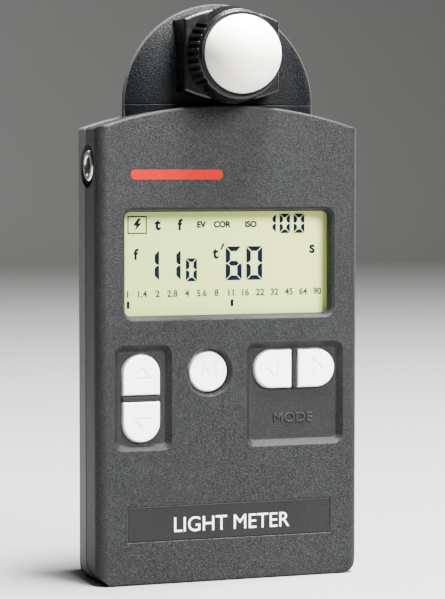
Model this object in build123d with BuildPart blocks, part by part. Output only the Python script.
from build123d import *
import os
from math import atan, cos, degrees, radians, sin, sqrt, tan

# Handheld light meter. X runs to the right as seen from the front, Y runs to the back and Z up.
# The origin is on the flat foot of the case, below the axis on which the head swivels.

# Overall size
TOTAL_HEIGHT = 117.0
CASE_HALF_WIDTH = 28.2
FRONT_Y = -9.0
BACK_Y = 16.0
WALL = 2.0
GAP = 0.05  # clearance between fixed neighbours

# Case outline
CROWN_RADIUS = 87.0
CROWN_CENTRE_Z = 9.4
FOOT_CORNER_RADIUS = 4.0
BEVEL_RUN, BEVEL_DROP = 2.2, 1.8
CREASE_DEPTH, CREASE_HEIGHT = 0.25, 0.3
TAPER_START_Y = 3.4
TAPER_ANGLE = 24.0
BACK_CORNER_RADIUS = 3.0
EDGE_RADIUS = 0.5
BACK_EDGE_RADIUS = 1.5
CROWN_CORNER_RADIUS = 0.7

# Joint between the two covers
FRONT_RIM_Y = -1.45
REAR_RIM_Y = -0.85
TONGUE_TIP_Y = -3.0
LIP = 0.8

# Display
WINDOW_HALF_WIDTH, WINDOW_LOW_Z, WINDOW_HIGH_Z = 22.5, 53.5, 75.5
WINDOW_CORNER_RADIUS = 1.8
WINDOW_SLOPE = 0.6
WINDOW_BACK_Y, WINDOW_THICKNESS = -6.15, 0.8
WINDOW_BEVEL = 0.3
LCD_HALF_WIDTH, LCD_LOW_Z, LCD_HIGH_Z = 23.2, 52.2, 76.6
LCD_FRONT_Y, LCD_MIDDLE_Y, LCD_BACK_Y = -5.6, -4.95, -4.3
LCD_LEDGE = 2.0
FRAME_BORDER, FRAME_FRONT_Y = 1.4, -6.1
STRIP_HALF_LENGTH, STRIP_WIDTH = 20.0, 1.6

# Keys
RECESS_DEPTH, RECESS_SLOPE, RECESS_CORNER_RADIUS = 1.3, 1.2, 2.0
RECESS_LOW_Z, RECESS_HIGH_Z = 27.1, 48.3
LEFT_RECESS_X = (-24.8, -12.5)
RIGHT_RECESS_X = (3.4, 24.8)
PILL_RADIUS, PILL_HALF_LENGTH, PILL_HALF_GAP = 3.85, 8.75, 0.75
STEP_KEYS_CENTRE = (-18.8, 37.6)
MODE_KEYS_CENTRE = (14.25, 42.76)
MEASURE_KEY_CENTRE = (-4.55, 42.6)
MEASURE_KEY_RADIUS = 4.0
DISH_RADIUS, DISH_DEPTH = 5.0, 1.3
KEY_CLEARANCE = 0.25
KEY_TOP_Y, MEASURE_KEY_TOP_Y = -8.6, -8.4
KEY_EDGE_RADIUS = 0.35
KEY_FLANGE, KEY_FLANGE_THICKNESS = 0.6, 0.7
KEY_STEM_RADIUS = 1.2
KEY_STEM_END_Y = -3.95
SYMBOL_WIDTH, SYMBOL_DEPTH = 0.3, 0.12
DIVIDER_WIDTH, DIVIDER_LENGTH, DIVIDER_TOP_Y = 1.0, 8.2, -8.4

# Name plate
PLATE_HALF_WIDTH, PLATE_LOW_Z, PLATE_HIGH_Z = 22.0, 8.7, 15.9
PLATE_RECESS_DEPTH, PLATE_THICKNESS = 0.3, 0.2

# Main board
BOARD_FRONT_Y, BOARD_BACK_Y = -2.9, -1.7
BOARD_HALF_WIDTH, BOARD_LOW_Z, BOARD_HIGH_Z = 25.0, 12.0, 78.5
BOARD_SCREW_X, BOARD_SCREW_Z = 22.0, (15.5, 49.2)
BOARD_BOSS_RADIUS = 1.7
DOME_RADIUS, DOME_HEIGHT = 2.3, 0.35

# Case screws
CASE_SCREW_X, CASE_SCREW_Z = 17.0, (7.5, 85.0)
CASE_BOSS_RADIUS = 3.0
CASE_SCREW_RADIUS, CASE_SCREW_HEAD_RADIUS = 1.0, 1.9
CASE_SCREW_HEAD_Y = 12.0
BOSS_MEET_Y = 1.0

# Flash-lead socket, on the left side
SOCKET_Y, SOCKET_Z = -2.4, 84.2
SOCKET_HOLE_RADIUS = 4.5
SOCKET_FACE_X = -26.9
BARREL_RADIUS, BARREL_BORE_RADIUS, BARREL_STEP_RADIUS = 3.1, 1.75, 1.5
BARREL_FACE_X, BARREL_STEP_X, BARREL_END_X = -28.2, -24.2, -21.8
PIN_RADIUS = 0.48

# Battery bay in the back
CELL_RADIUS, CELL_Y = 7.25, 6.6
CELL_LOW_Z, CELL_HIGH_Z = 6.6, 56.0
NUB_RADIUS, NUB_HEIGHT = 2.75, 1.0
BAY_HALF_WIDTH, BAY_LOW_Z, BAY_HIGH_Z = 8.0, 3.0, 57.8
BAY_FRONT_Y, BAY_WALL = -0.8, 0.8
DOOR_HALF_WIDTH, DOOR_HIGH_Z, DOOR_INNER_Y = 9.0, 60.0, 14.1
DOOR_RAIL, DOOR_RAIL_Y = 0.9, (14.65, 15.25)
DOOR_CLEARANCE = 0.1

# Tripod insert
INSERT_Z = 70.0
INSERT_RADIUS, INSERT_THREAD_RADIUS, INSERT_LENGTH = 4.5, 2.55, 6.0

# Half-round head
HEAD_RADIUS = 20.5
HEAD_CENTRE_Z = TOTAL_HEIGHT - HEAD_RADIUS
HEAD_FLAT_RADIUS = 12.0
HEAD_FRONT_Y, HEAD_BACK_Y = -5.0, 5.0
HEAD_FRONT_ARC, HEAD_BACK_ARC = 13.9, 8.93
HEAD_RIM_EDGE_RADIUS = 0.35
HEAD_FOOT_Z = 96.62
HEAD_WALL = 1.5
HEAD_SPLIT_Y = 0.9
COLLAR_TOP_Z = 96.5
COLLAR_FLANGE_Z = (89.0, 91.0)
COLLAR_FLANGE_WIDTH, COLLAR_FLANGE_DEPTH = 44.4, 9.6
HEAD_SCREW_X, HEAD_SCREW_Z = 13.5, 101.5
HEAD_SCREW_RADIUS, HEAD_SCREW_HEAD_RADIUS, HEAD_SCREW_HEAD_LENGTH = 0.78, 1.6, 0.78
HEAD_SCREW_SUNK, HEAD_SCREW_TIP_Y = 0.5, -2.6
HEAD_BOSS_RADIUS = 2.2

# Swivel
POST_RADIUS, POST_BORE_RADIUS = 3.15, 2.0
BUSH_BORE_RADIUS, BUSH_RADIUS = 3.2, 4.1
POST_LOW_Z = 86.4
POST_FLANGE_Z = (98.17, 99.37)
POST_FLANGE_HALF_WIDTH, POST_FLANGE_HALF_DEPTH = 6.0, 3.2
CLIP_GROOVE_Z, CLIP_GROOVE_RADIUS = (87.2, 88.0), 2.7
CLIP_RADIUS, CLIP_MOUTH = 4.8, 4.0
WASHER_RADIUS, WASHER_LOW_Z = 5.2, 88.35
LEAD_RADIUS, LEAD_Z = 1.2, (78.2, 101.9)

# Sensor housing and diffuser
SENSOR_Z = 106.4
BLOCK_HALF_WIDTH, BLOCK_FRONT_Y = 10.15, -10.0
BLOCK_CORNER_Z, BLOCK_EDGE_Z = (99.2, 113.5), (97.1, 115.8)
BAYONET_BORE_RADIUS, BAYONET_GROOVE_RADIUS = 8.0, 8.7
BAYONET_GROOVE_Y = (-8.4, -7.1)
BAYONET_LUGS, BAYONET_LUG_ANGLE, BAYONET_TWIST = 3, 20.0, 45.0
SENSOR_BORE_RADIUS = 4.0
SENSOR_FLOOR_Y = -7.0
SENSOR_BOARD_Y = -2.45
RING_BACK_RADIUS, RING_LIP_RADIUS, RING_FRONT_Y = 9.85, 8.55, -15.4
RING_BACK_Y = -10.1
RING_NOTCHES, RING_NOTCH_PITCH, RING_NOTCH_WIDTH, RING_NOTCH_FLOOR = 9, 9.0, 0.9, 8.8
DOME_OUTER_RADIUS, DOME_WALL = 7.85, 1.2
DIFFUSER_SEAT_Y = -12.3


def facing_front(y):
    """Plane across the depth at y: its x is X, its y is Z, and it is extruded towards the front."""
    return Plane.XZ.offset(-y)


def facing_left(x):
    """Plane across the width at x: its x is -Y, its y is Z, and it is extruded towards the left."""
    return Plane((x, 0, 0), x_dir=(0, -1, 0), z_dir=(-1, 0, 0))


def case_volume(inset, y_front, y_back):
    """The outer form of the case shrunk by inset, between two planes across its depth."""
    side = CASE_HALF_WIDTH - inset
    crown = CROWN_RADIUS - inset
    front, back = FRONT_Y + inset, BACK_Y - inset
    crease_y = front + BEVEL_DROP
    taper_y = TAPER_START_Y - inset * tan(radians(TAPER_ANGLE / 2))
    back_side = side - (back - taper_y) * tan(radians(TAPER_ANGLE))
    with BuildPart() as volume:
        # Seen from the front: straight sides, a flat foot with round corners
        with BuildSketch(facing_front(y_back)) as outline:
            with Locations((0, inset)):
                Rectangle(2 * side, TOTAL_HEIGHT, align=(Align.CENTER, Align.MIN))
            fillet(outline.vertices().group_by(Axis.Y)[0], max(FOOT_CORNER_RADIUS - inset, 0.5))
            if inset == 0:
                with Locations((0, CROWN_CENTRE_Z)):
                    Circle(crown, mode=Mode.INTERSECT)
                fillet(outline.vertices().group_by(Axis.Y)[-1], CROWN_CORNER_RADIUS)
        extrude(amount=y_back - y_front)
        # Seen from above: bevelled at the front corners, tapered towards the back
        with BuildSketch(Plane.XY) as section:
            with BuildLine():
                if inset == 0:
                    Line((0, front), (side - BEVEL_RUN, front))
                    TangentArc((side - BEVEL_RUN, front), (side, crease_y), tangent=(1, 0))
                    Polyline(
                        (side, crease_y),
                        (side - CREASE_DEPTH, crease_y + CREASE_HEIGHT / 2),
                        (side, crease_y + CREASE_HEIGHT),
                        (side, taper_y),
                    )
                else:
                    Polyline((0, front), (side, front), (side, taper_y))
                Polyline((side, taper_y), (back_side, back), (0, back), (0, front))
            make_face()
            corner = section.vertices().sort_by_distance((back_side, back))[0]
            fillet(corner, max(BACK_CORNER_RADIUS - inset, 0.5))
            mirror(about=Plane.YZ)
        extrude(amount=TOTAL_HEIGHT, mode=Mode.INTERSECT)
        # The arched crown, which tapers towards the back as the sides do, and the foot
        back_crown = crown - (side - back_side)
        with BuildSketch(Plane.XY.offset(CROWN_CENTRE_Z)) as crown_half:
            with BuildLine():
                Polyline(
                    (0, front), (crown, front), (crown, taper_y), (back_crown, back), (0, back), close=True
                )
            make_face()
            if inset == 0:
                fillet(crown_half.vertices().sort_by_distance((crown, front))[0], EDGE_RADIUS)
                fillet(crown_half.vertices().sort_by_distance((back_crown, back))[0], BACK_EDGE_RADIUS)
        revolve(axis=Axis((0, 0, CROWN_CENTRE_Z), (0, 1, 0)), mode=Mode.INTERSECT)
        if inset == 0:
            with BuildSketch(Plane.YZ.offset(-CASE_HALF_WIDTH)) as foot:
                with Locations((front, 0)):
                    Rectangle(back - front, TOTAL_HEIGHT, align=(Align.MIN, Align.MIN))
                fillet(foot.vertices().sort_by_distance((front, 0))[0], EDGE_RADIUS)
                fillet(foot.vertices().sort_by_distance((back, 0))[0], BACK_EDGE_RADIUS)
            extrude(amount=2 * CASE_HALF_WIDTH, mode=Mode.INTERSECT)
    return volume.part


def head_section(inset):
    """Half of the head's section, drawn in the open sketch: flat in the middle, round towards the rim."""
    rim = HEAD_RADIUS - inset * (1.5 if inset > 0 else 1)
    front, back = HEAD_FRONT_Y + inset, HEAD_BACK_Y - inset
    arc_run = rim - HEAD_FLAT_RADIUS
    front_arc, back_arc = HEAD_FRONT_ARC - inset, HEAD_BACK_ARC - inset
    rim_front = front + front_arc - sqrt(front_arc**2 - arc_run**2)
    rim_back = back - back_arc + sqrt(back_arc**2 - arc_run**2)
    with BuildLine() as outline:
        Line((0, front), (HEAD_FLAT_RADIUS, front))
        TangentArc((HEAD_FLAT_RADIUS, front), (rim, rim_front), tangent=(1, 0))
        Line((rim, rim_front), (rim, rim_back))
        TangentArc((HEAD_FLAT_RADIUS, back), (rim, rim_back), tangent=(1, 0))
        Polyline((HEAD_FLAT_RADIUS, back), (0, back), (0, front))
    section = make_face(outline.edges())
    if inset <= 0:
        fillet(section.vertices().group_by(Axis.X)[-1], HEAD_RIM_EDGE_RADIUS)


def head_volume(inset):
    """The head's outer form shrunk by inset: a turned disc cut flat at its foot."""
    with BuildPart() as volume:
        with BuildSketch(Plane.XY.offset(HEAD_CENTRE_Z)):
            head_section(inset)
        revolve(axis=Axis((0, 0, HEAD_CENTRE_Z), (0, 1, 0)))
        with Locations((0, 0, HEAD_FOOT_Z + inset)):
            Box(60, 60, 60, align=(Align.CENTER, Align.CENTER, Align.MAX), mode=Mode.SUBTRACT)
    return volume.part


def box_between(low, high, mode=Mode.ADD):
    """A box from its low corner to its high corner, in the open part."""
    size = [b - a for a, b in zip(low, high)]
    with Locations(low):
        Box(*size, align=(Align.MIN, Align.MIN, Align.MIN), mode=mode)


def rod_y(x, z, radius, y_front, y_back, mode=Mode.ADD):
    """A round rod along Y, in the open part."""
    with BuildSketch(facing_front(y_back)) as end:
        with Locations((x, z)):
            Circle(radius)
    extrude(end.sketch, amount=y_back - y_front, mode=mode)


def rod_x(radius, x_left, x_right, mode=Mode.ADD):
    """A round rod along X on the socket's axis, in the open part."""
    with BuildSketch(facing_left(x_right)) as end:
        with Locations((-SOCKET_Y, SOCKET_Z)):
            Circle(radius)
    extrude(end.sketch, amount=x_right - x_left, mode=mode)


def rod_z(x, y, radius, z_low, z_high, mode=Mode.ADD):
    """A round rod along Z, in the open part."""
    with BuildSketch(Plane.XY.offset(z_low)) as end:
        with Locations((x, y)):
            Circle(radius)
    extrude(end.sketch, amount=z_high - z_low, mode=mode)


def half_pill(centre, angle, grow=0.0):
    """Outline of half a pill-shaped key: a flat end by the centre, a round end in the direction of angle."""
    straight = PILL_HALF_LENGTH - PILL_RADIUS - PILL_HALF_GAP
    with Locations(Pos(*centre) * Rot(0, 0, angle)):
        with Locations((PILL_HALF_GAP - grow, 0)):
            Rectangle(straight + grow, 2 * (PILL_RADIUS + grow), align=(Align.MIN, Align.CENTER))
        with Locations((PILL_HALF_LENGTH - PILL_RADIUS, 0)):
            Circle(PILL_RADIUS + grow)


def key_recess(x_range):
    """Cuts a shallow recess with sloping walls into the front face of the open part."""
    width, height = x_range[1] - x_range[0], RECESS_HIGH_Z - RECESS_LOW_Z
    centre = ((x_range[0] + x_range[1]) / 2, (RECESS_LOW_Z + RECESS_HIGH_Z) / 2)
    with BuildSketch(facing_front(FRONT_Y)) as mouth:
        with Locations(centre):
            RectangleRounded(width, height, RECESS_CORNER_RADIUS)
    slope = degrees(atan(RECESS_SLOPE / RECESS_DEPTH))
    extrude(mouth.sketch, amount=-RECESS_DEPTH, taper=slope, mode=Mode.SUBTRACT)


def divider(centre, width, height):
    """The rounded rib that stands on a recess's floor between the two halves of a key."""
    with BuildPart() as rib:
        with BuildSketch(facing_front(FRONT_Y + RECESS_DEPTH + 0.2)):
            with Locations(centre):
                RectangleRounded(width, height, DIVIDER_WIDTH / 2 - 0.05)
        extrude(amount=FRONT_Y + RECESS_DEPTH + 0.2 - DIVIDER_TOP_Y)
        fillet(rib.faces().sort_by(Axis.Y)[0].edges(), DIVIDER_WIDTH / 2 - 0.15)
    return rib.part


def engrave(face_y, *lines):
    """Cuts thin grooves along lines of points into the open part's front face."""
    with BuildSketch(facing_front(face_y)) as grooves:
        for points in lines:
            with BuildLine() as path:
                Polyline(*points)
            trace(path.edges(), line_width=SYMBOL_WIDTH)
    extrude(grooves.sketch, amount=-SYMBOL_DEPTH, mode=Mode.SUBTRACT)


def window_sketch(grow, radius):
    """The display opening's outline, grown all round, in the open sketch."""
    width = 2 * (WINDOW_HALF_WIDTH + grow)
    height = WINDOW_HIGH_Z - WINDOW_LOW_Z + 2 * grow
    with Locations((0, (WINDOW_LOW_Z + WINDOW_HIGH_Z) / 2)):
        RectangleRounded(width, height, radius)


def neck_notch():
    """Cuts the foot of the head's collar out of the open cover's crown."""
    with BuildSketch(Plane.XY.offset(COLLAR_FLANGE_Z[1])) as notch:
        head_section(-GAP)
        mirror(about=Plane.YZ)
    extrude(notch.sketch, amount=HEAD_FOOT_Z - COLLAR_FLANGE_Z[1], mode=Mode.SUBTRACT)


INNER_Y = FRONT_Y + WALL
KEY_FACES = {  # centre of the pair, and the direction in which each key points
    "up_button": (STEP_KEYS_CENTRE, 90),
    "down_button": (STEP_KEYS_CENTRE, -90),
    "left_button": (MODE_KEYS_CENTRE, 180),
    "right_button": (MODE_KEYS_CENTRE, 0),
}
CASE_SCREWS = [(x, z) for x in (-CASE_SCREW_X, CASE_SCREW_X) for z in CASE_SCREW_Z]
BOARD_SCREWS = [(x, z) for x in (-BOARD_SCREW_X, BOARD_SCREW_X) for z in BOARD_SCREW_Z]
HEAD_SCREWS = [(-HEAD_SCREW_X, HEAD_SCREW_Z), (HEAD_SCREW_X, HEAD_SCREW_Z)]

# Front cover: a shell open to the back, with openings for the display, the keys and the socket
front_outer = case_volume(0, FRONT_Y, FRONT_RIM_Y)
front_cavity = case_volume(WALL, INNER_Y, FRONT_RIM_Y)
lip_rebate = case_volume(LIP, TONGUE_TIP_Y - 0.1, FRONT_RIM_Y)
with BuildPart() as front_cover:
    add(front_outer)
    add(front_cavity, mode=Mode.SUBTRACT)
    add(lip_rebate, mode=Mode.SUBTRACT)
    for x, z in CASE_SCREWS:
        rod_y(x, z, CASE_BOSS_RADIUS, INNER_Y, BOSS_MEET_Y - GAP)
        rod_y(x, z, CASE_SCREW_RADIUS, INNER_Y, BOSS_MEET_Y, mode=Mode.SUBTRACT)
    for x, z in BOARD_SCREWS:
        rod_y(x, z, BOARD_BOSS_RADIUS, INNER_Y, BOARD_FRONT_Y)
        rod_y(x, z, 0.8, INNER_Y, BOARD_FRONT_Y, mode=Mode.SUBTRACT)
    with BuildSketch(facing_front(FRONT_Y)):
        window_sketch(0, WINDOW_CORNER_RADIUS)
    extrude(amount=-WALL, taper=degrees(atan(WINDOW_SLOPE / WALL)), mode=Mode.SUBTRACT)
    with BuildSketch(facing_front(FRONT_Y)):
        window_sketch(WINDOW_BEVEL, WINDOW_CORNER_RADIUS + WINDOW_BEVEL)
    extrude(amount=-WINDOW_BEVEL, taper=45, mode=Mode.SUBTRACT)
    key_recess(LEFT_RECESS_X)
    key_recess(RIGHT_RECESS_X)
    with BuildSketch(facing_front(INNER_Y)) as key_holes:
        for centre, angle in KEY_FACES.values():
            half_pill(centre, angle, grow=KEY_CLEARANCE)
        with Locations(MEASURE_KEY_CENTRE):
            Circle(MEASURE_KEY_RADIUS + KEY_CLEARANCE)
    extrude(amount=WALL, mode=Mode.SUBTRACT)
    with BuildSketch(facing_front(FRONT_Y)):
        with Locations(MEASURE_KEY_CENTRE):
            Circle(DISH_RADIUS)
    dish_slope = degrees(atan((DISH_RADIUS - MEASURE_KEY_RADIUS - KEY_CLEARANCE) / DISH_DEPTH))
    extrude(amount=-DISH_DEPTH, taper=dish_slope, mode=Mode.SUBTRACT)
    box_between(
        (-PLATE_HALF_WIDTH, FRONT_Y, PLATE_LOW_Z),
        (PLATE_HALF_WIDTH, FRONT_Y + PLATE_RECESS_DEPTH, PLATE_HIGH_Z),
        mode=Mode.SUBTRACT,
    )
    rod_x(SOCKET_HOLE_RADIUS, -CASE_HALF_WIDTH, -CASE_HALF_WIDTH + WALL + 0.1, mode=Mode.SUBTRACT)
    neck_notch()
    add(divider(STEP_KEYS_CENTRE, DIVIDER_LENGTH, DIVIDER_WIDTH))
    add(divider(MODE_KEYS_CENTRE, DIVIDER_WIDTH, DIVIDER_LENGTH))
front_cover.part.label = "front_cover"

# Rear cover: a shell open to the front, with a tongue inside the front cover's lip and a battery bay
rear_outer = case_volume(0, REAR_RIM_Y, BACK_Y)
rear_cavity = case_volume(WALL, REAR_RIM_Y, BACK_Y - WALL)
tongue_outer = case_volume(LIP + GAP, TONGUE_TIP_Y, REAR_RIM_Y)
tongue_cavity = case_volume(WALL, TONGUE_TIP_Y, REAR_RIM_Y)
with BuildPart() as rear_cover:
    add(rear_outer)
    add(rear_cavity, mode=Mode.SUBTRACT)
    add(tongue_outer)
    add(tongue_cavity, mode=Mode.SUBTRACT)
    for x, z in CASE_SCREWS:
        rod_y(x, z, CASE_BOSS_RADIUS, BOSS_MEET_Y, BACK_Y - WALL)
    box_between(
        (-BAY_HALF_WIDTH - 1, BAY_FRONT_Y - BAY_WALL, BAY_LOW_Z - 1),
        (BAY_HALF_WIDTH + 1, BACK_Y - WALL, BAY_HIGH_Z + 1),
    )
    box_between(
        (-BAY_HALF_WIDTH, BAY_FRONT_Y, BAY_LOW_Z),
        (BAY_HALF_WIDTH, BACK_Y, BAY_HIGH_Z),
        mode=Mode.SUBTRACT,
    )
    box_between(
        (-DOOR_HALF_WIDTH - DOOR_CLEARANCE, DOOR_INNER_Y - DOOR_CLEARANCE, 0),
        (DOOR_HALF_WIDTH + DOOR_CLEARANCE, BACK_Y, DOOR_HIGH_Z + DOOR_CLEARANCE),
        mode=Mode.SUBTRACT,
    )
    rail_reach = DOOR_HALF_WIDTH + DOOR_RAIL + DOOR_CLEARANCE
    box_between(
        (-rail_reach, DOOR_RAIL_Y[0] - DOOR_CLEARANCE, 0),
        (rail_reach, DOOR_RAIL_Y[1] + DOOR_CLEARANCE, DOOR_HIGH_Z - 2),
        mode=Mode.SUBTRACT,
    )
    rod_y(0, INSERT_Z, INSERT_RADIUS + 1.5, BACK_Y - INSERT_LENGTH - 1.2, BACK_Y - WALL)
    rod_y(0, INSERT_Z, INSERT_RADIUS + 0.01, BACK_Y - INSERT_LENGTH, BACK_Y, mode=Mode.SUBTRACT)
    for x, z in CASE_SCREWS:
        rod_y(x, z, CASE_SCREW_RADIUS + 0.1, BOSS_MEET_Y, BACK_Y, mode=Mode.SUBTRACT)
        rod_y(x, z, CASE_SCREW_HEAD_RADIUS + 0.15, CASE_SCREW_HEAD_Y, BACK_Y, mode=Mode.SUBTRACT)
    rod_x(SOCKET_HOLE_RADIUS, -CASE_HALF_WIDTH, -CASE_HALF_WIDTH + WALL + 0.1, mode=Mode.SUBTRACT)
    neck_notch()
rear_cover.part.label = "rear_cover"

# Display: clear window, liquid crystal cell, its frame and its two elastomer contact strips
with BuildPart() as display_window:
    with BuildSketch(facing_front(WINDOW_BACK_Y)):
        window_sketch(1.2, 1.0)
    extrude(amount=WINDOW_THICKNESS)
display_window.part.label = "display_window"

STRIPS_LOW_Z = (LCD_LOW_Z + 0.2, LCD_HIGH_Z - 0.2 - STRIP_WIDTH)
with BuildPart() as lcd_glass:
    box_between((-LCD_HALF_WIDTH, LCD_FRONT_Y, LCD_LOW_Z), (LCD_HALF_WIDTH, LCD_MIDDLE_Y, LCD_HIGH_Z))
    box_between(
        (-LCD_HALF_WIDTH, LCD_MIDDLE_Y, LCD_LOW_Z + LCD_LEDGE),
        (LCD_HALF_WIDTH, LCD_BACK_Y, LCD_HIGH_Z - LCD_LEDGE),
    )
lcd_glass.part.label = "lcd_glass"

with BuildPart() as lcd_frame:
    pocket, outer = LCD_HALF_WIDTH + 0.1, LCD_HALF_WIDTH + FRAME_BORDER
    box_between(
        (-outer, FRAME_FRONT_Y, LCD_LOW_Z - FRAME_BORDER),
        (outer, BOARD_FRONT_Y - GAP, LCD_HIGH_Z + FRAME_BORDER),
    )
    box_between(
        (-pocket, FRAME_FRONT_Y, LCD_LOW_Z - 0.1),
        (pocket, LCD_BACK_Y + GAP, LCD_HIGH_Z + 0.1),
        mode=Mode.SUBTRACT,
    )
    for z_low in STRIPS_LOW_Z:
        box_between(
            (-STRIP_HALF_LENGTH - 0.1, LCD_BACK_Y, z_low - 0.1),
            (STRIP_HALF_LENGTH + 0.1, BOARD_FRONT_Y, z_low + STRIP_WIDTH + 0.1),
            mode=Mode.SUBTRACT,
        )
    for x in (-1, 1):
        with Locations((x * BOARD_SCREW_X, 0, BOARD_SCREW_Z[1])):
            Cylinder(BOARD_BOSS_RADIUS + 0.1, 20, rotation=(90, 0, 0), mode=Mode.SUBTRACT)
lcd_frame.part.label = "lcd_frame"

with BuildPart() as zebra_connectors:
    for z_low in STRIPS_LOW_Z:
        box_between(
            (-STRIP_HALF_LENGTH, LCD_MIDDLE_Y + 0.02, z_low),
            (STRIP_HALF_LENGTH, BOARD_FRONT_Y - 0.02, z_low + STRIP_WIDTH),
        )
zebra_connectors.part.label = "zebra_connectors"

# Electronics: main board with its chips, the socket for the head's leads and the key domes
with BuildPart() as main_board:
    box_between(
        (-BOARD_HALF_WIDTH, BOARD_FRONT_Y, BOARD_LOW_Z),
        (BOARD_HALF_WIDTH, BOARD_BACK_Y, BOARD_HIGH_Z),
    )
    fillet(main_board.edges().filter_by(Axis.Y), 1.5)
    for x, z in BOARD_SCREWS:
        rod_y(x, z, 0.95, BOARD_FRONT_Y, BOARD_BACK_Y, mode=Mode.SUBTRACT)
main_board.part.label = "main_board"

CHIPS = [  # centre x, centre z, width, height, thickness
    (-14, 66, 10, 10, 1.4),
    (13, 66, 7, 5, 1.3),
    (13, 73, 5, 4, 1.1),
    (-17, 45, 8, 6, 1.5),
    (17, 45, 6, 8, 1.5),
    (17, 30, 8, 4, 1.2),
    (-17, 30, 4, 4, 2.0),
]
with BuildPart() as board_chips:
    for x, z, width, height, thickness in CHIPS:
        box_between(
            (x - width / 2, BOARD_BACK_Y + 0.02, z - height / 2),
            (x + width / 2, BOARD_BACK_Y + thickness, z + height / 2),
        )
board_chips.part.label = "board_chips"

with BuildPart() as sensor_connector:
    box_between((-3, BOARD_BACK_Y + 0.02, 74), (3, 1.6, 78))
    fillet(sensor_connector.edges().filter_by(Axis.Z), 0.3)
sensor_connector.part.label = "sensor_connector"

KEY_CENTRES = [MEASURE_KEY_CENTRE]
for centre, angle in KEY_FACES.values():
    reach = (PILL_HALF_LENGTH - PILL_RADIUS + PILL_HALF_GAP) * 0.8
    turn = radians(angle)
    KEY_CENTRES.append((centre[0] + reach * cos(turn), centre[1] + reach * sin(turn)))

with BuildPart() as snap_domes:
    with BuildSketch(facing_front(BOARD_FRONT_Y - 0.02)):
        with Locations(*KEY_CENTRES):
            Circle(DOME_RADIUS)
    extrude(amount=DOME_HEIGHT, taper=60)
snap_domes.part.label = "snap_domes"

with BuildPart() as board_screws:
    for x, z in BOARD_SCREWS:
        rod_y(x, z, 0.78, BOARD_FRONT_Y - 2.6, BOARD_BACK_Y + 0.03)
        rod_y(x, z, 1.5, BOARD_BACK_Y + 0.03, BOARD_BACK_Y + 0.9)
board_screws.part.label = "board_screws"

with BuildPart() as case_screws:
    for x, z in CASE_SCREWS:
        rod_y(x, z, CASE_SCREW_RADIUS - 0.02, -5.5, CASE_SCREW_HEAD_Y + 0.02)
        rod_y(x, z, CASE_SCREW_HEAD_RADIUS, CASE_SCREW_HEAD_Y + 0.02, CASE_SCREW_HEAD_Y + 1.4)
        for turn in (0, 90):
            with BuildSketch(facing_front(CASE_SCREW_HEAD_Y + 1.4)):
                with Locations((x, z)):
                    Rectangle(2.2, 0.5, rotation=turn)
            extrude(amount=0.8, mode=Mode.SUBTRACT)
case_screws.part.label = "case_screws"

with BuildPart() as name_plate:
    margin = 0.1
    box_between(
        (-PLATE_HALF_WIDTH + margin, FRONT_Y + PLATE_RECESS_DEPTH - PLATE_THICKNESS, PLATE_LOW_Z + margin),
        (PLATE_HALF_WIDTH - margin, FRONT_Y + PLATE_RECESS_DEPTH - 0.01, PLATE_HIGH_Z - margin),
    )
name_plate.part.label = "name_plate"



def arrow(centre, turn):
    """Corners of the triangle on a key, pointing in the direction of turn."""
    corners = ((4.0, -1.85), (4.0, 1.85), (6.0, 0), (4.0, -1.85))
    return [
        (centre[0] + x * cos(turn) - y * sin(turn), centre[1] + x * sin(turn) + y * cos(turn))
        for x, y in corners
    ]


# Keys: each has a cap, a flange behind the front wall and a stem that reaches for its snap dome
key_parts = {}
for name, (centre, angle) in KEY_FACES.items():
    turn = radians(angle)
    reach = (PILL_HALF_LENGTH - PILL_RADIUS + PILL_HALF_GAP) * 0.8
    stem_at = (centre[0] + reach * cos(turn), centre[1] + reach * sin(turn))
    with BuildPart() as key:
        with BuildSketch(facing_front(INNER_Y + GAP)):
            half_pill(centre, angle)
        extrude(amount=INNER_Y + GAP - KEY_TOP_Y)
        fillet(key.faces().sort_by(Axis.Y)[0].edges(), KEY_EDGE_RADIUS)
        with BuildSketch(facing_front(INNER_Y + GAP + KEY_FLANGE_THICKNESS)):
            half_pill(centre, angle, grow=KEY_FLANGE)
        extrude(amount=KEY_FLANGE_THICKNESS)
        rod_y(*stem_at, KEY_STEM_RADIUS, INNER_Y + GAP, KEY_STEM_END_Y)
        engrave(KEY_TOP_Y, arrow(centre, turn))
    key.part.label = name
    key_parts[name] = key.part

m_x, m_z = MEASURE_KEY_CENTRE[0] + 0.1, MEASURE_KEY_CENTRE[1]
letter_m = [(m_x + x, m_z + z) for x, z in ((-1.4, -1.7), (-1.4, 1.7), (0, -0.6), (1.4, 1.7), (1.4, -1.7))]
with BuildPart() as measure_button:
    rod_y(*MEASURE_KEY_CENTRE, MEASURE_KEY_RADIUS, MEASURE_KEY_TOP_Y, INNER_Y + GAP)
    fillet(measure_button.faces().sort_by(Axis.Y)[0].edges(), KEY_EDGE_RADIUS)
    rod_y(
        *MEASURE_KEY_CENTRE,
        MEASURE_KEY_RADIUS + KEY_FLANGE + 0.2,
        INNER_Y + GAP,
        INNER_Y + GAP + KEY_FLANGE_THICKNESS,
    )
    rod_y(*MEASURE_KEY_CENTRE, KEY_STEM_RADIUS, INNER_Y + GAP, KEY_STEM_END_Y)
    engrave(MEASURE_KEY_TOP_Y, letter_m)
measure_button.part.label = "measure_button"

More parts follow.
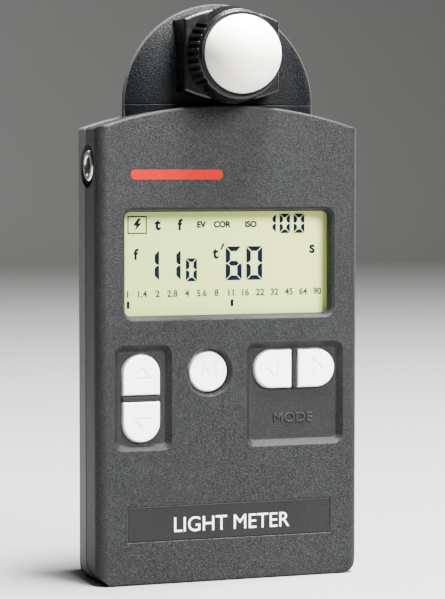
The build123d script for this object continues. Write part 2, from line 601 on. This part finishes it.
# Flash-lead socket: a moulded body held between the covers, a metal barrel, an insulator and a contact
SOCKET_FLANGE_X, SOCKET_FLANGE_Y, SOCKET_FLANGE_HALF_HEIGHT = (-26.1, -25.2), (-6.9, 3.0), 5.4
SOCKET_BODY_END_X = -22.2
with BuildPart() as sync_socket_body:
    flange_low_x, flange_high_x = SOCKET_FLANGE_X
    rod_x(SOCKET_HOLE_RADIUS - 0.03, SOCKET_FACE_X, flange_high_x)
    box_between(
        (flange_low_x, SOCKET_FLANGE_Y[0], SOCKET_Z - SOCKET_FLANGE_HALF_HEIGHT),
        (flange_high_x, SOCKET_FLANGE_Y[1], SOCKET_Z + SOCKET_FLANGE_HALF_HEIGHT),
    )
    rod_x(SOCKET_HOLE_RADIUS - 0.4, flange_high_x, SOCKET_BODY_END_X)
    rod_x(BARREL_RADIUS + 0.02, SOCKET_FACE_X, SOCKET_BODY_END_X, mode=Mode.SUBTRACT)
sync_socket_body.part.label = "sync_socket_body"

with BuildPart() as sync_socket_ring:
    rod_x(BARREL_RADIUS, BARREL_FACE_X, BARREL_END_X)
    rod_x(BARREL_BORE_RADIUS, BARREL_FACE_X, BARREL_STEP_X, mode=Mode.SUBTRACT)
    rod_x(BARREL_STEP_RADIUS, BARREL_STEP_X, BARREL_END_X, mode=Mode.SUBTRACT)
    chamfer(sync_socket_ring.faces().sort_by(Axis.X)[0].edges(), 0.25)
sync_socket_ring.part.label = "sync_socket_ring"

with BuildPart() as sync_socket_insulator:
    rod_x(BARREL_STEP_RADIUS - 0.02, BARREL_STEP_X + 0.02, BARREL_END_X)
    rod_x(PIN_RADIUS + 0.02, BARREL_STEP_X, BARREL_END_X, mode=Mode.SUBTRACT)
sync_socket_insulator.part.label = "sync_socket_insulator"

with BuildPart() as sync_socket_contact:
    rod_x(PIN_RADIUS, BARREL_STEP_X + 0.02, BARREL_END_X + 1.0)
sync_socket_contact.part.label = "sync_socket_contact"

# Power: one AA cell in its printed sleeve, a coil spring at its foot, a plate at its head, and the door
with BuildPart() as battery_cell:
    rod_z(0, CELL_Y, CELL_RADIUS - 0.2, CELL_LOW_Z, CELL_HIGH_Z)
    rod_z(0, CELL_Y, NUB_RADIUS, CELL_HIGH_Z, CELL_HIGH_Z + NUB_HEIGHT)
    fillet(battery_cell.faces().sort_by(Axis.Z)[-1].edges(), 0.4)
battery_cell.part.label = "battery_cell"

with BuildPart() as battery_sleeve:
    rod_z(0, CELL_Y, CELL_RADIUS, CELL_LOW_Z + 0.4, CELL_HIGH_Z - 0.2)
    rod_z(0, CELL_Y, CELL_RADIUS - 0.18, CELL_LOW_Z + 0.4, CELL_HIGH_Z - 0.2, mode=Mode.SUBTRACT)
battery_sleeve.part.label = "battery_sleeve"

SPRING_LOW_Z, SPRING_TURNS, SPRING_WIRE = BAY_LOW_Z + 0.4, 3, 0.3
spring_height = CELL_LOW_Z - SPRING_LOW_Z - SPRING_WIRE - 0.06
with BuildPart() as battery_spring:
    with BuildLine() as coil:
        Helix(spring_height / SPRING_TURNS, spring_height, 3.6, center=(0, CELL_Y, SPRING_LOW_Z))
    with BuildSketch(Plane(coil.line @ 0, z_dir=coil.line % 0)):
        Circle(SPRING_WIRE)
    sweep(is_frenet=True)
battery_spring.part.label = "battery_spring"

CONTACT_THICKNESS, CONTACT_HALF_WIDTH = 0.4, 5.0
with BuildPart() as battery_plate:
    plate_low_z = CELL_HIGH_Z + NUB_HEIGHT + 0.02
    plate_high_z = plate_low_z + CONTACT_THICKNESS
    box_between((-CONTACT_HALF_WIDTH, 1, plate_low_z), (CONTACT_HALF_WIDTH, 12, plate_high_z))
    box_between(
        (-CONTACT_HALF_WIDTH, 1 - CONTACT_THICKNESS, CELL_HIGH_Z - 4), (CONTACT_HALF_WIDTH, 1, plate_high_z)
    )
    rod_z(0, CELL_Y, 8.0, 0, CELL_HIGH_Z + 0.4, mode=Mode.SUBTRACT)
battery_plate.part.label = "battery_plate"

GRIP_RIDGES, GRIP_LOW_Z, GRIP_PITCH, GRIP_DEPTH, GRIP_HALF_WIDTH = 6, 44.0, 1.8, 0.5, 6.0
with BuildPart() as battery_door:
    box_between((-DOOR_HALF_WIDTH, DOOR_INNER_Y, 0.1), (DOOR_HALF_WIDTH, BACK_Y, DOOR_HIGH_Z))
    back_face = battery_door.faces().sort_by(Axis.Y)[-1]
    fillet(back_face.edges().filter_by(Axis.Z), 0.3)
    box_between(
        (-DOOR_HALF_WIDTH - DOOR_RAIL, DOOR_RAIL_Y[0], 0.1),
        (DOOR_HALF_WIDTH + DOOR_RAIL, DOOR_RAIL_Y[1], DOOR_HIGH_Z - 2.2),
    )
    for index in range(GRIP_RIDGES):
        z = GRIP_LOW_Z + index * GRIP_PITCH
        box_between(
            (-GRIP_HALF_WIDTH, BACK_Y - GRIP_DEPTH, z),
            (GRIP_HALF_WIDTH, BACK_Y, z + GRIP_PITCH / 2),
            mode=Mode.SUBTRACT,
        )
battery_door.part.label = "battery_door"

# Tripod insert, pressed into the rear cover's boss
with BuildPart() as tripod_insert:
    rod_y(0, INSERT_Z, INSERT_RADIUS, BACK_Y - INSERT_LENGTH + 0.01, BACK_Y - 0.05)
    rod_y(0, INSERT_Z, INSERT_THREAD_RADIUS, BACK_Y - INSERT_LENGTH, BACK_Y, mode=Mode.SUBTRACT)
    chamfer(tripod_insert.faces().sort_by(Axis.Y)[-1].edges().sort_by(SortBy.RADIUS)[0], 0.35)
tripod_insert.part.label = "tripod_insert"

# Neck: a collar clamped between the covers, with the bush, washer and clip of the swivel.
with BuildPart() as neck_collar:
    with BuildSketch(Plane.XY.offset(COLLAR_FLANGE_Z[0])):
        Rectangle(COLLAR_FLANGE_WIDTH, COLLAR_FLANGE_DEPTH)
    extrude(amount=COLLAR_FLANGE_Z[1] - COLLAR_FLANGE_Z[0] - GAP)
    with BuildSketch(Plane.XY.offset(COLLAR_FLANGE_Z[1] - GAP)):
        head_section(0)
        mirror(about=Plane.YZ)
    extrude(amount=COLLAR_TOP_Z - COLLAR_FLANGE_Z[1] + GAP)
    rod_z(0, 0, BUSH_RADIUS + 0.01, COLLAR_FLANGE_Z[0], COLLAR_TOP_Z, mode=Mode.SUBTRACT)
neck_collar.part.label = "neck_collar"

with BuildPart() as neck_bush:
    rod_z(0, 0, BUSH_RADIUS, COLLAR_FLANGE_Z[0], COLLAR_TOP_Z)
    rod_z(0, 0, BUSH_BORE_RADIUS, COLLAR_FLANGE_Z[0], COLLAR_TOP_Z, mode=Mode.SUBTRACT)
neck_bush.part.label = "neck_bush"

with BuildPart() as friction_washer:
    rod_z(0, 0, WASHER_RADIUS, WASHER_LOW_Z, COLLAR_FLANGE_Z[0] - GAP)
    rod_z(0, 0, POST_RADIUS + 0.15, WASHER_LOW_Z, COLLAR_FLANGE_Z[0], mode=Mode.SUBTRACT)
friction_washer.part.label = "friction_washer"

with BuildPart() as post_clip:
    rod_z(0, 0, CLIP_RADIUS, CLIP_GROOVE_Z[0] + 0.05, CLIP_GROOVE_Z[1] - 0.05)
    rod_z(0, 0, CLIP_GROOVE_RADIUS + 0.02, CLIP_GROOVE_Z[0], CLIP_GROOVE_Z[1], mode=Mode.SUBTRACT)
    box_between(
        (-CLIP_MOUTH / 2, 0, CLIP_GROOVE_Z[0]),
        (CLIP_MOUTH / 2, CLIP_RADIUS + 1, CLIP_GROOVE_Z[1]),
        mode=Mode.SUBTRACT,
    )
post_clip.part.label = "post_clip"

with BuildPart() as swivel_post:
    rod_z(0, 0, POST_RADIUS, POST_LOW_Z, POST_FLANGE_Z[0])
    box_between(
        (-POST_FLANGE_HALF_WIDTH, -POST_FLANGE_HALF_DEPTH, POST_FLANGE_Z[0]),
        (POST_FLANGE_HALF_WIDTH, POST_FLANGE_HALF_DEPTH, POST_FLANGE_Z[1]),
    )
    rod_z(0, 0, POST_BORE_RADIUS, POST_LOW_Z, POST_FLANGE_Z[1], mode=Mode.SUBTRACT)
    with BuildSketch(Plane.XY.offset(CLIP_GROOVE_Z[0])):
        Circle(POST_RADIUS)
        Circle(CLIP_GROOVE_RADIUS, mode=Mode.SUBTRACT)
    extrude(amount=CLIP_GROOVE_Z[1] - CLIP_GROOVE_Z[0], mode=Mode.SUBTRACT)
swivel_post.part.label = "swivel_post"

with BuildPart() as sensor_lead:
    rod_z(0, 0, LEAD_RADIUS, *LEAD_Z)
sensor_lead.part.label = "sensor_lead"

# Head: two shells screwed together round the swivel post's flange
HEAD_SCREW_SEAT_Y = HEAD_BACK_Y - HEAD_SCREW_SUNK - HEAD_SCREW_HEAD_LENGTH
head_outer = head_volume(0)
head_cavity = head_volume(HEAD_WALL)
with BuildPart() as head_front_shell:
    add(head_outer)
    add(head_cavity, mode=Mode.SUBTRACT)
    for x, z in HEAD_SCREWS:
        rod_y(x, z, HEAD_BOSS_RADIUS, HEAD_FRONT_Y + HEAD_WALL - 0.2, HEAD_SPLIT_Y)
        rod_y(x, z, HEAD_SCREW_RADIUS + 0.02, HEAD_FRONT_Y + HEAD_WALL, HEAD_SPLIT_Y, mode=Mode.SUBTRACT)
    rod_z(0, 0, POST_RADIUS + 0.02, HEAD_FOOT_Z, POST_FLANGE_Z[0], mode=Mode.SUBTRACT)
    rod_y(0, SENSOR_Z, SENSOR_BORE_RADIUS + 0.3, HEAD_FRONT_Y, SENSOR_BOARD_Y, mode=Mode.SUBTRACT)
    box_between((-30, HEAD_SPLIT_Y - GAP / 2, 90), (30, 10, 120), mode=Mode.SUBTRACT)
head_front_shell.part.label = "head_front_shell"

with BuildPart() as head_rear_shell:
    add(head_outer)
    add(head_cavity, mode=Mode.SUBTRACT)
    for x, z in HEAD_SCREWS:
        rod_y(x, z, HEAD_BOSS_RADIUS, HEAD_SPLIT_Y, HEAD_BACK_Y - HEAD_WALL + 0.2)
        rod_y(x, z, HEAD_SCREW_RADIUS + 0.12, HEAD_SPLIT_Y, HEAD_BACK_Y, mode=Mode.SUBTRACT)
        rod_y(x, z, HEAD_SCREW_HEAD_RADIUS + 0.15, HEAD_SCREW_SEAT_Y - 0.02, HEAD_BACK_Y, mode=Mode.SUBTRACT)
    rod_z(0, 0, POST_RADIUS + 0.02, HEAD_FOOT_Z, POST_FLANGE_Z[0], mode=Mode.SUBTRACT)
    box_between((-30, -10, 90), (30, HEAD_SPLIT_Y + GAP / 2, 120), mode=Mode.SUBTRACT)
head_rear_shell.part.label = "head_rear_shell"

with BuildPart() as head_screws:
    for x, z in HEAD_SCREWS:
        rod_y(x, z, HEAD_SCREW_RADIUS, HEAD_SCREW_TIP_Y, HEAD_SCREW_SEAT_Y)
        rod_y(x, z, HEAD_SCREW_HEAD_RADIUS, HEAD_SCREW_SEAT_Y, HEAD_BACK_Y - HEAD_SCREW_SUNK)
        for turn in (0, 90):
            with BuildSketch(facing_front(HEAD_BACK_Y - HEAD_SCREW_SUNK)):
                with Locations((x, z)):
                    Rectangle(2.0, 0.4, rotation=turn)
            extrude(amount=0.5, mode=Mode.SUBTRACT)
head_screws.part.label = "head_screws"

# Sensor housing: a bowed block on the head's face, with the diffuser's bayonet bore and the sensor's seat
BLOCK_BACK_Y = -1.6
seat_volume = head_volume(-0.02)
with BuildPart() as sensor_housing:
    with BuildSketch(facing_front(BLOCK_BACK_Y)):
        with BuildLine():
            side = BLOCK_HALF_WIDTH
            Line((-side, BLOCK_CORNER_Z[0]), (-side, BLOCK_CORNER_Z[1]))
            ThreePointArc((-side, BLOCK_CORNER_Z[1]), (0, BLOCK_EDGE_Z[1]), (side, BLOCK_CORNER_Z[1]))
            Line((side, BLOCK_CORNER_Z[1]), (side, BLOCK_CORNER_Z[0]))
            ThreePointArc((side, BLOCK_CORNER_Z[0]), (0, BLOCK_EDGE_Z[0]), (-side, BLOCK_CORNER_Z[0]))
        make_face()
    extrude(amount=BLOCK_BACK_Y - BLOCK_FRONT_Y)
    fillet(sensor_housing.faces().sort_by(Axis.Y)[0].edges(), EDGE_RADIUS)
    add(seat_volume, mode=Mode.SUBTRACT)
    rod_y(0, SENSOR_Z, BAYONET_BORE_RADIUS, BLOCK_FRONT_Y, SENSOR_FLOOR_Y, mode=Mode.SUBTRACT)
    rod_y(0, SENSOR_Z, SENSOR_BORE_RADIUS, BLOCK_FRONT_Y, SENSOR_BOARD_Y, mode=Mode.SUBTRACT)
    rod_y(0, SENSOR_Z, BAYONET_GROOVE_RADIUS, *BAYONET_GROOVE_Y, mode=Mode.SUBTRACT)
    with BuildSketch(facing_front(BAYONET_GROOVE_Y[0])):
        with Locations((0, SENSOR_Z)):
            with PolarLocations(0, BAYONET_LUGS, start_angle=90 + BAYONET_TWIST):
                Rectangle(
                    BAYONET_GROOVE_RADIUS,
                    2 * BAYONET_GROOVE_RADIUS * sin(radians(BAYONET_LUG_ANGLE / 2 + 2)),
                    align=(Align.MIN, Align.CENTER),
                )
            Circle(BAYONET_GROOVE_RADIUS, mode=Mode.INTERSECT)
    extrude(amount=BAYONET_GROOVE_Y[0] - BLOCK_FRONT_Y, mode=Mode.SUBTRACT)
sensor_housing.part.label = "sensor_housing"

with BuildPart() as sensor_window:
    rod_y(0, SENSOR_Z, SENSOR_BORE_RADIUS - 0.03, SENSOR_FLOOR_Y, SENSOR_FLOOR_Y + 0.9)
sensor_window.part.label = "sensor_window"

with BuildPart() as colour_filter:
    rod_y(0, SENSOR_Z, SENSOR_BORE_RADIUS - 0.03, SENSOR_FLOOR_Y + 0.95, SENSOR_FLOOR_Y + 1.95)
colour_filter.part.label = "colour_filter"

with BuildPart() as photodiode:
    rod_y(0, SENSOR_Z, SENSOR_BORE_RADIUS - 0.03, HEAD_FRONT_Y + 0.03, SENSOR_BOARD_Y - 0.03)
photodiode.part.label = "photodiode"

with BuildPart() as sensor_board:
    box_between((-6.5, SENSOR_BOARD_Y, 100.8), (6.5, SENSOR_BOARD_Y + 1, 111.5))
    fillet(sensor_board.edges().filter_by(Axis.Y), 1.0)
sensor_board.part.label = "sensor_board"

with BuildPart() as head_connector:
    box_between((-3, SENSOR_BOARD_Y + 1.02, 102), (3, 1.4, 105))
head_connector.part.label = "head_connector"

# Diffuser: a knurled ring with a bayonet skirt and lugs, and the hollow half-sphere seated in it
SKIRT_BORE_RADIUS, SKIRT_RADIUS, SKIRT_BACK_Y = 7.0, 7.9, RING_BACK_Y + 2.9
with BuildPart() as diffuser_ring:
    with BuildSketch(Plane.XY.offset(SENSOR_Z)):
        with BuildLine():
            Polyline(
                (SKIRT_BORE_RADIUS, SKIRT_BACK_Y),
                (SKIRT_RADIUS, SKIRT_BACK_Y),
                (SKIRT_RADIUS, RING_BACK_Y),
                (RING_BACK_RADIUS, RING_BACK_Y),
                (RING_LIP_RADIUS + 0.45, RING_FRONT_Y + 1.1),
                (RING_LIP_RADIUS, RING_FRONT_Y + 0.9),
                (RING_LIP_RADIUS, RING_FRONT_Y),
                (DOME_OUTER_RADIUS + 0.02, RING_FRONT_Y),
                (DOME_OUTER_RADIUS + 0.02, DIFFUSER_SEAT_Y),
                (SKIRT_BORE_RADIUS, DIFFUSER_SEAT_Y),
                (SKIRT_BORE_RADIUS, SKIRT_BACK_Y),
            )
        make_face()
    revolve(axis=Axis((0, 0, SENSOR_Z), (0, 1, 0)))
    # Finger notches in two groups, on the left and on the right
    notch_span = RING_NOTCH_PITCH * (RING_NOTCHES - 1)
    with BuildSketch(facing_front(RING_BACK_Y)):
        with Locations((0, SENSOR_Z)):
            for side_angle in (0, 180):
                with PolarLocations(
                    RING_NOTCH_FLOOR, RING_NOTCHES, side_angle - notch_span / 2, notch_span, endpoint=True
                ):
                    Rectangle(3.0, RING_NOTCH_WIDTH, align=(Align.MIN, Align.CENTER))
    extrude(amount=RING_BACK_Y - RING_FRONT_Y - 1.0, mode=Mode.SUBTRACT)
    with BuildSketch(facing_front(BAYONET_GROOVE_Y[1] - 0.15)):
        with Locations((0, SENSOR_Z)):
            with PolarLocations(0, BAYONET_LUGS, start_angle=90):
                Rectangle(
                    BAYONET_GROOVE_RADIUS,
                    2 * 8.6 * sin(radians(BAYONET_LUG_ANGLE / 2)),
                    align=(Align.MIN, Align.CENTER),
                )
            Circle(BAYONET_GROOVE_RADIUS - 0.1, mode=Mode.INTERSECT)
            Circle(7.5, mode=Mode.SUBTRACT)
    extrude(amount=0.9)
diffuser_ring.part.label = "diffuser_ring"

with BuildPart() as diffuser_dome:
    with BuildSketch(Plane.XY.offset(SENSOR_Z)):
        with BuildLine():
            outer, inner = DOME_OUTER_RADIUS, DOME_OUTER_RADIUS - DOME_WALL
            back_y = DIFFUSER_SEAT_Y - 0.03
            CenterArc((0, RING_FRONT_Y), outer, -90, 90)
            Polyline((outer, RING_FRONT_Y), (outer, back_y), (inner, back_y), (inner, RING_FRONT_Y))
            CenterArc((0, RING_FRONT_Y), inner, -90, 90)
            Line((0, RING_FRONT_Y - outer), (0, RING_FRONT_Y - inner))
        make_face()
    revolve(axis=Axis((0, 0, SENSOR_Z), (0, 1, 0)))
diffuser_dome.part.label = "diffuser_dome"

ALL_PARTS = [
    front_cover, rear_cover, display_window, lcd_glass, lcd_frame, zebra_connectors,
    main_board, board_chips, sensor_connector, snap_domes, board_screws, case_screws, name_plate,
    measure_button, sync_socket_body, sync_socket_ring, sync_socket_insulator, sync_socket_contact,
    battery_cell, battery_sleeve, battery_spring, battery_plate, battery_door, tripod_insert,
    neck_collar, neck_bush, friction_washer, post_clip, swivel_post, sensor_lead,
    head_front_shell, head_rear_shell, head_screws, sensor_housing, sensor_window,
    colour_filter, photodiode, sensor_board, head_connector, diffuser_ring, diffuser_dome,
]  # fmt: skip

os.makedirs("parts", exist_ok=True)
for builder in ALL_PARTS:
    export_step(builder.part, f"parts/{builder.part.label}.step")
for name, part in key_parts.items():
    export_step(part, f"parts/{name}.step")
